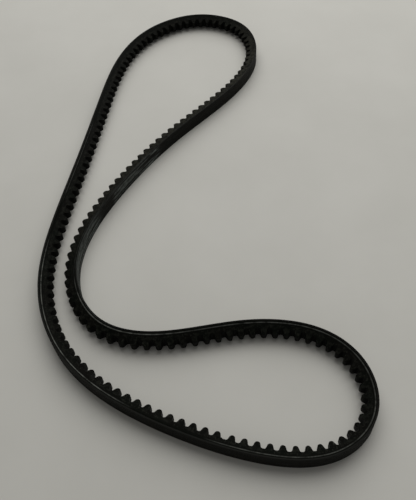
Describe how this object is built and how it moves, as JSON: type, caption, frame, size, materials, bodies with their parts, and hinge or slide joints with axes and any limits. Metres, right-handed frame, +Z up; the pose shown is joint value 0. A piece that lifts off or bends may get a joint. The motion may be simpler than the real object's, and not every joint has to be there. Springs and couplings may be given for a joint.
{
  "type": "cogged v belt",
  "caption": "Endless raw-edge cogged V-belt standing on one edge in a bent free loop, with moulded cogs on its inside and a helical tensile cord.",
  "frame": {"origin": "middle of the belt's footprint, on the surface that its lower edge rests on", "axes": "+Z up, across the belt's width; +Y along the length of the loop, towards its narrow lobe; +X towards the open side of the bend"},
  "size_m": [0.1802, 0.3834, 0.01],
  "materials": {
    "back_fabric": "black rubberised woven fabric, matte",
    "cushion_rubber": "smooth black rubber",
    "tensile_cord": "twisted pale grey polyester cord",
    "compression_rubber": "ground black rubber with short fibres, matte"
  },
  "bodies": {
    "root": {"back_ply_outer": "back_fabric", "back_ply_inner": "back_fabric", "overcord_cushion": "cushion_rubber", "tensile_cord": "tensile_cord", "undercord_cushion": "cushion_rubber", "cogged_compression_rubber": "compression_rubber"}
  },
  "joints": []
}
